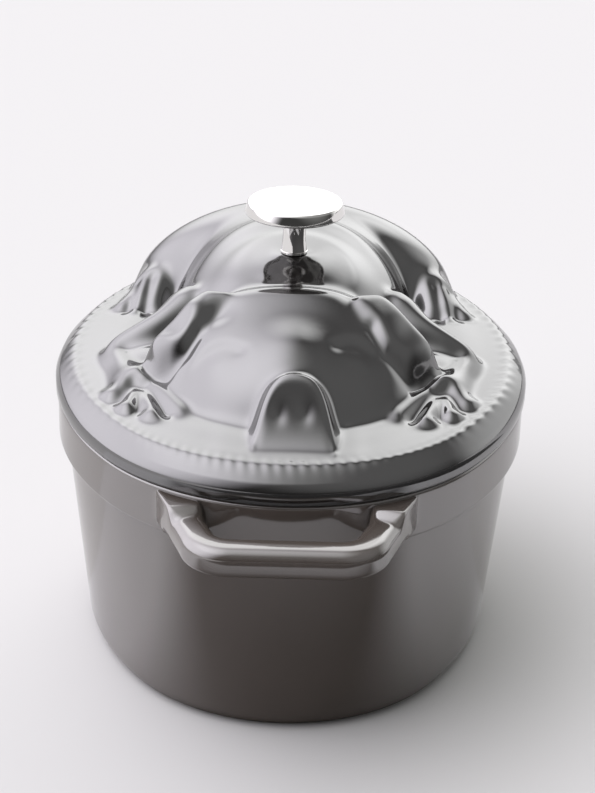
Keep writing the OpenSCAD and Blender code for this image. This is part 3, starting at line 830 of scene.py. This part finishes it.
# %% Geometry Nodes tree that sets a rounded point on each place
BALL_SEGMENTS, BALL_RINGS = 12, 8
dots, dot_keys = new_tree(
    "basting_points",
    [("Point radius", "NodeSocketFloat"), ("Point height", "NodeSocketFloat"),
     ("Finish", "NodeSocketMaterial")])
dots_in, dots_out = dots.nodes.new("NodeGroupInput"), dots.nodes.new("NodeGroupOutput")
ball = dots.nodes.new("GeometryNodeMeshUVSphere")
set_inputs(ball, {"Segments": BALL_SEGMENTS, "Rings": BALL_RINGS, "Radius": 1.0})
stretch = dots.nodes.new("ShaderNodeCombineXYZ")
spread = dots.nodes.new("GeometryNodeInstanceOnPoints")
smooth_dots = dots.nodes.new("GeometryNodeSetShadeSmooth")
real_dots = dots.nodes.new("GeometryNodeRealizeInstances")
finish_dots = dots.nodes.new("GeometryNodeSetMaterial")
link_all(dots, [
    (dots_in.outputs["Point radius"], stretch.inputs["X"]),
    (dots_in.outputs["Point radius"], stretch.inputs["Y"]),
    (dots_in.outputs["Point height"], stretch.inputs["Z"]),
    (stretch.outputs["Vector"], spread.inputs["Scale"]),
    (ball.outputs["Mesh"], smooth_dots.inputs[0]),
    (smooth_dots.outputs[0], spread.inputs["Instance"]),
    (dots_in.outputs["Finish"], finish_dots.inputs["Material"])])
dots_flow = chain(dots, dots_in.outputs["Geometry"], spread, real_dots, finish_dots)
dots.links.new(dots_flow, dots_out.inputs[0])
print("tree for the points has", len(dots.nodes), "nodes")

# %% Make the points
seeds = bpy.data.meshes.new("point_places")
seeds.from_pydata(places, [], [])
seed_holder = add_object("point_places", seeds)
dot_values = {"Point radius": POINT_R * MM, "Point height": POINT_H * MM, "Finish": BLACK_ENAMEL}
dots_mesh = bake_nodes(seed_holder, dots, dot_keys, dot_values)
bpy.data.objects.remove(seed_holder)
basting_points = add_object("basting_points", dots_mesh)
print("points have", len(dots_mesh.polygons), "faces")
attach(basting_points, "lid")

# %% [markdown]
# ## The loop handles
#
# Each handle is cast in one with the wall: two arms that leave the collar and a straight bar between
# two round corners. A section is carried along that line. It gets a little higher where the arms meet
# the wall, and a small land steps up there towards the collar. The roots end inside the wall, so that the
# join leaves no gap.

# %% Way of a handle
HANDLE_REACH = pot_high[1] - HALF_L
BAR_D, BAR_T, ARM_W = 10.0, 8.2, 9.0
ROOT_W, BAR_W, LOOP_R = 72.0, 51.0, 9.0
ROOT_SINK, BAR_DROP, LAND_H, LAND_D = 3.4, 2.9, 1.9, 4.5
LAND_PAST, LAND_FADE = 2.5, 3.5
BAR_TOP_R, LAND_R, BAR_LOW_R, FLARE, FLARE_SHARE = 3.4, 1.0, 2.4, 4.0, 0.4
ROOT_EXTRA = 1.2
DEEPEST = END_R + RIM_IN + 0.6
ARM_CUTS, BEND_CUTS, BAR_CUTS, CORNER_CUTS = 24, 16, 8, 6
SECTION = 4 * (CORNER_CUTS + 1)
bar_y = HALF_L + HANDLE_REACH - BAR_D / 2
root = np.array([(ROOT_W - ARM_W) / 2, 0.0])
root[1] = END_C + math.sqrt((END_R - COLLAR_IN - ROOT_SINK) ** 2 - root[0] ** 2)
corner = np.array([(BAR_W - ARM_W) / 2, bar_y])
arm_way = (corner - root) / np.linalg.norm(corner - root)
bend = math.atan2(arm_way[1], -arm_way[0])
bend_l = LOOP_R * math.tan(bend / 2)
bend_c = np.array([corner[0] - bend_l, bar_y - LOOP_R])
half_loop = [root - arm_way * ROOT_EXTRA]
half_loop += [root + (corner - arm_way * bend_l - root) * i / ARM_CUTS for i in range(ARM_CUTS)]
half_loop += [bend_c + LOOP_R * np.array([math.cos(a), math.sin(a)])
              for a in np.linspace(math.pi / 2 - bend, math.pi / 2, BEND_CUTS + 1)]
half_loop += [np.array([bend_c[0] * (1 - i / BAR_CUTS), bar_y]) for i in range(1, BAR_CUTS)]
loop = np.array(half_loop + [np.array([-p[0], p[1]]) for p in half_loop[::-1]])
print("a handle has", len(loop), "stations of", SECTION, "points")


# %% Section of a handle, carried along its way
def oblong(w, h, top_r):
    """Points of an oblong about its own middle, with its own corner radius on top."""
    ring = []
    for k, (sx, sy) in enumerate([(1, 1), (-1, 1), (-1, -1), (1, -1)]):
        r = top_r if sy > 0 else BAR_LOW_R
        ring += arc(sx * (w / 2 - r), sy * (h / 2 - r), r, 90 * k, 90 * k + 90, CORNER_CUTS)
    return ring


def handle(turned):
    """A closed loop handle at the rear, or at the front where turned is -1."""
    way = np.gradient(loop, axis=0)
    way /= np.linalg.norm(way, axis=1)[:, None]
    points = []
    for p, d in zip(loop, way):
        t = np.clip((p[1] - root[1]) / (bar_y - root[1]), 0, 1)
        clear = np.hypot(p[0], p[1] - END_C) - END_R + COLLAR_IN
        near = min(max(FLARE - clear, 0), FLARE)
        grow = FLARE - math.sqrt(FLARE**2 - near**2)
        land = LAND_H * float(ease((LAND_D + LAND_PAST - clear) / LAND_FADE))
        w = ARM_W + (BAR_D - ARM_W) * t
        h = BAR_T + land + FLARE_SHARE * grow
        top = POT_H - BAR_DROP + land
        for u, v in oblong(w, h, BAR_TOP_R + (LAND_R - BAR_TOP_R) * land / LAND_H):
            px, py = p[0] - d[1] * u, p[1] + d[0] * u - END_C
            push = max(DEEPEST / math.hypot(px, py), 1.0)
            points.append((px * push, END_C + py * push, top - h / 2 + v))
    faces = ring_quads(len(loop), SECTION)
    faces += [tuple(range(SECTION)), tuple((len(loop) - 1) * SECTION + k for k in range(SECTION))]
    points = np.array(points) * np.array([turned, turned, 1])
    return make_piece("handle_made", points, faces, LIT_POT_ENAMEL)


# %% Join both handles to the wall
for turned in (1, -1):
    loose = handle(turned)
    join = pot.modifiers.new("join", "BOOLEAN")
    join.operation = "UNION"
    join.solver = "EXACT"
    join.object = loose
    fused = final_mesh(pot)
    pot.modifiers.remove(join)
    pot.data = fused
    bpy.data.objects.remove(loose)
print("pot has", len(pot.data.polygons), "faces")

# %% Lighter enamel outside the pot (painted light), black enamel inside, and the pot's place in the model
POT_SHARP = math.radians(50)
FACES_IN, BLACK_IN, BLACK_Z = 0.3, 1.5, 0.003
pot.data.materials.clear()
pot.data.materials.append(LIT_POT_ENAMEL)
pot.data.materials.append(BLACK_ENAMEL)
pot.data.shade_smooth()
pot.data.set_sharp_from_angle(angle=POT_SHARP)
for polygon in pot.data.polygons:
    c, n = polygon.center, polygon.normal
    depth, out_x, out_y = arc_frame(np.array(c.x / MM), np.array(c.y / MM))
    faces_in = n.x * out_x + n.y * out_y < FACES_IN and n.z > -FACES_IN
    polygon.material_index = int(depth > BLACK_IN and c.z > BLACK_Z and faces_in)
print(sum(polygon.material_index for polygon in pot.data.polygons), "of the pot's faces are black")
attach(pot, "pot")
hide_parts("pot")

# %% [markdown]
# ## The knob and its screw
#
# The knob is turned from bar and polished to a mirror, so its facets would show at once. It is lathed
# again here with a fine step. The screw and the washers are hidden under the lid and keep their packed
# solids.

# %% Metal finishes
def metal(name, colour, smooth, rough, scale):
    """A metal whose roughness drifts between two values, in a grain of the given scale."""
    material, tree, surface = new_material(name)
    set_inputs(surface, {"Base Color": (*colour, 1), "Metallic": 1.0})
    where = tree.nodes.new("ShaderNodeTexCoord")
    grain = tree.nodes.new("ShaderNodeTexNoise")
    grain.inputs["Scale"].default_value = scale
    spread = tree.nodes.new("ShaderNodeMapRange")
    set_inputs(spread, {"To Min": smooth, "To Max": rough})
    link_all(tree, [
        (where.outputs["Object"], grain.inputs["Vector"]),
        (grain.outputs["Fac"], spread.inputs["Value"]),
        (spread.outputs["Result"], surface.inputs["Roughness"])])
    return material


POLISHED = metal("polished_metal", (0.78, 0.77, 0.75), 0.03, 0.08, 180.0)
STEEL = metal("plain_steel", (0.55, 0.55, 0.56), 0.25, 0.4, 900.0)
for node in ("knob_screw", "flat_washer", "lock_washer"):
    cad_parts[node].data.materials.clear()
    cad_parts[node].data.materials.append(STEEL)
    print(node, "is", STEEL.name)

# %% Lathe the knob
KNOB_R = knob_high[0]
KNOB_H = knob_high[2] - SEAT_Z
HEAD_T, STEM_R, FOOT_RING_R = 4.4, 3.45, 4.0
HEAD_LOW = KNOB_H - HEAD_T
TOP_EDGE, LOW_EDGE, EDGE_LEAN, CROWN, NECK_R = 0.9, 0.6, 0.6, 0.5, 1.6
KNOB_CUTS, KNOB_SHARP = 160, math.radians(40)
knob_line = [(0, 0), (FOOT_RING_R - 0.2, 0), (FOOT_RING_R, 0.2), (FOOT_RING_R, 0.7)]
knob_line += [(FOOT_RING_R - 0.15, 0.8), (FOOT_RING_R - 0.05, 0.95)]
knob_line += [(STEM_R + 0.2, 3.0), (STEM_R, 5.0), (STEM_R, 7.5), (STEM_R + 0.15, 9.5)]
knob_line += arc(STEM_R + 0.25 + NECK_R, HEAD_LOW - NECK_R, NECK_R, 180, 90, 8)
knob_line += arc(KNOB_R - LOW_EDGE, HEAD_LOW + 0.2 + LOW_EDGE, LOW_EDGE, -80, 8, 8)
knob_line += arc(KNOB_R - EDGE_LEAN - TOP_EDGE, KNOB_H - CROWN - TOP_EDGE, TOP_EDGE, 12, 84, 10)
knob_line += [(KNOB_R * share, KNOB_H - CROWN * share**2) for share in (0.8, 0.6, 0.4, 0.2, 0)]


def lathe(name, profile, cuts, material, base_z):
    """A turned piece from a profile of (radius, height)."""
    points = []
    for r, z in profile:
        points += [(r * math.cos(a), r * math.sin(a), base_z + z)
                   for a in np.linspace(0, 2 * np.pi, cuts, endpoint=False)]
    return make_piece(name, points, ring_quads(len(profile), cuts), material)


knob = lathe("knob_turned", knob_line, KNOB_CUTS, POLISHED, SEAT_Z)
knob.data.set_sharp_from_angle(angle=KNOB_SHARP)
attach(knob, "lid")
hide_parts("knob")
print("knob", round(KNOB_R * 2, 1), "mm across and", round(KNOB_H, 1), "mm high")

# %% [markdown]
# ## Floor, camera and light
#
# The floor is plain and pale. All light comes from one soft sky of broad lobes: a large one on the
# left, smaller ones behind and dim ones above. Dark cards lie on the floor and only reflections show
# them, so the glossy shapes get bright backs and dark fronts; the one nearest the pot is a painted
# shadow of the pot. The camera itself sees a plain pale backdrop. Lamps would be simpler, but a glaze
# mirrors their edges, and a sky has none.

# %% Floor
FLOOR, FLOOR_HALF, FLOOR_ROUGH = (0.63, 0.627, 0.617), 4, 0.6
floor_material, _, floor_surface = new_material("pale_floor")
set_inputs(floor_surface, {"Base Color": (*FLOOR, 1), "Roughness": FLOOR_ROUGH, "Specular IOR Level": 0.0})


def stage_plane(name, x0, y0, x1, y1, z, material):
    """A flat plane between two corners, in metres, that isn't part of the model."""
    mesh = bpy.data.meshes.new(name)
    mesh.from_pydata([(x0, y0, z), (x1, y0, z), (x1, y1, z), (x0, y1, z)], [], [(0, 1, 2, 3)])
    mesh.materials.append(material)
    plane = add_object(name, mesh)
    return plane


stage_plane("floor", -FLOOR_HALF, -FLOOR_HALF, FLOOR_HALF, FLOOR_HALF, 0, floor_material)
print("floor", 2 * FLOOR_HALF, "m wide")

# %% Dark cards on the floor, which only the reflections show
DARK = 0.02
CARD_Z = 0.001
FAR_Y = -0.26
CARDS = {"front_card": (-0.3, -3.0, 3.0, FAR_Y), "right_card": (0.23, FAR_Y, 3.0, 0.1),
         "back_card": (-3.0, 0.9, 3.0, 3.9), "near_card": (-0.3, FAR_Y, 0.23, 0.0)}
dark_card, _, dark_surface = new_material("dark_card")
dark_surface.inputs["Base Color"].default_value = (DARK, DARK, DARK, 1)

# %% The near card is a painted shadow of the pot: dark only in front of the pot, fading to the floor's shade at its sides and lighter further out
SIDE_SLOPE = 0.7
SIDE_FADE = {"From Min": 0.0, "From Max": 0.07, "To Min": FLOOR[0], "To Max": DARK}
FAR_FADE = {"From Min": 0.09, "From Max": -FAR_Y, "To Min": DARK, "To Max": 0.36}
painted_shadow_card, card_tree, card_surface = new_material("painted_shadow_card")
card_nodes, card_links = card_tree.nodes, card_tree.links


def card_math(operation, a, b):
    """A Math node whose inputs are sockets or plain numbers."""
    made = card_nodes.new("ShaderNodeMath")
    made.operation = operation
    for socket, value in zip(made.inputs, (a, b)):
        if isinstance(value, float):
            socket.default_value = value
        else:
            card_links.new(value, socket)
    return made.outputs[0]


def card_fade(value, limits):
    """A smooth change from one shade to another."""
    made = card_nodes.new("ShaderNodeMapRange")
    made.interpolation_type = "SMOOTHSTEP"
    set_inputs(made, limits)
    card_links.new(value, made.inputs["Value"])
    return made.outputs["Result"]


card_place = card_nodes.new("ShaderNodeSeparateXYZ")
card_links.new(card_nodes.new("ShaderNodeTexCoord").outputs["Object"], card_place.inputs["Vector"])
forward = card_math("MULTIPLY", card_place.outputs["Y"], -1.0)
aside = card_math("MULTIPLY", card_math("ABSOLUTE", card_place.outputs["X"], 0.0), SIDE_SLOPE)
side_shade = card_fade(card_math("SUBTRACT", forward, aside), SIDE_FADE)
shade = card_math("MAXIMUM", side_shade, card_fade(forward, FAR_FADE))
card_links.new(shade, card_surface.inputs["Base Color"])
for name, corners in CARDS.items():
    card = stage_plane(name, *corners, CARD_Z, painted_shadow_card if name == "near_card" else dark_card)
    card.visible_camera = False
    card.visible_diffuse = False
    card.visible_shadow = False
print("cards:", ", ".join(CARDS))

# %% Camera at the photograph's angle
ELEVATION, ROLL, DISTANCE, FOCAL_PX = 24.656, 1.470, 610.0, 1973.75
PHOTO_H, SENSOR = 793, 36.0
LOOK = Vector((2.15, 0, 70.12))
camera = add_object("camera", bpy.data.cameras.new("camera"))
camera.data.sensor_width = SENSOR
camera.data.lens = FOCAL_PX * SENSOR / PHOTO_H
view = Vector((0, math.cos(math.radians(ELEVATION)), -math.sin(math.radians(ELEVATION))))
spin = Matrix.Rotation(math.radians(90 - ELEVATION), 4, "X") @ Matrix.Rotation(math.radians(ROLL), 4, "Z")
camera.matrix_world = Matrix.Translation((LOOK - view * DISTANCE) * MM) @ spin
camera.data.clip_start = 0.01
bpy.context.scene.camera = camera
print("camera", DISTANCE, "mm away, lens", round(camera.data.lens, 1), "mm")

# %% Soft sky of a few broad lobes
SKY_BASE = 0.05
BACKDROP = (0.9, 0.9, 0.9, 1)
COOL, WHITE = (1.0, 0.97, 1.04), (1.0, 1.0, 1.0)
# Each lobe: azimuth and elevation, angles where it is full and where it is gone, strength, colour
SKY_LOBES = [(-80, 30, 2, 72, 2.8, COOL), (4, 24, 2, 40, 2.4, WHITE), (26, 40, 7, 18, 0.7, WHITE),
             (48, 4, 2, 42, 1.3, WHITE), (-100, 76, 8, 42, 0.66, WHITE), (120, 55, 10, 65, 0.3, WHITE)]
world = bpy.data.worlds.new("studio")
world.use_nodes = True
sky_nodes, sky_links = world.node_tree.nodes, world.node_tree.links
direction = sky_nodes.new("ShaderNodeTexCoord").outputs["Generated"]
total = sky_nodes.new("ShaderNodeCombineXYZ").outputs["Vector"]
for socket in total.node.inputs:
    socket.default_value = SKY_BASE
for azimuth, elevation, full, gone, strength, colour in SKY_LOBES:
    turn, tilt = math.radians(azimuth), math.radians(elevation)
    axis = (math.sin(turn) * math.cos(tilt), math.cos(turn) * math.cos(tilt), math.sin(tilt))
    facing = sky_nodes.new("ShaderNodeVectorMath")
    facing.operation = "DOT_PRODUCT"
    facing.inputs[1].default_value = axis
    lobe = sky_nodes.new("ShaderNodeMapRange")
    lobe.interpolation_type = "SMOOTHSTEP"
    limits = {"From Min": math.cos(math.radians(gone)), "From Max": math.cos(math.radians(full))}
    set_inputs(lobe, {**limits, "To Max": strength})
    tinted = sky_nodes.new("ShaderNodeVectorMath")
    tinted.operation = "SCALE"
    tinted.inputs[0].default_value = colour
    add = sky_nodes.new("ShaderNodeVectorMath")
    link_all(world.node_tree, [
        (direction, facing.inputs[0]),
        (facing.outputs["Value"], lobe.inputs["Value"]),
        (lobe.outputs["Result"], tinted.inputs["Scale"]),
        (total, add.inputs[0]),
        (tinted.outputs["Vector"], add.inputs[1])])
    total = add.outputs["Vector"]
backdrop = sky_nodes.new("ShaderNodeMix")
backdrop.data_type = "RGBA"
backdrop.inputs["B"].default_value = BACKDROP
sky_links.new(sky_nodes.new("ShaderNodeLightPath").outputs["Is Camera Ray"], backdrop.inputs["Factor"])
sky_links.new(total, backdrop.inputs["A"])
sky_links.new(backdrop.outputs["Result"], sky_nodes["Background"].inputs["Color"])
bpy.context.scene.world = world
print(len(SKY_LOBES), "lobes in the sky")
bpy.context.scene.view_settings.view_transform = "Standard"

# %% [markdown]
# ## Finish
#

# %% Finish
bpy.context.view_layer.update()
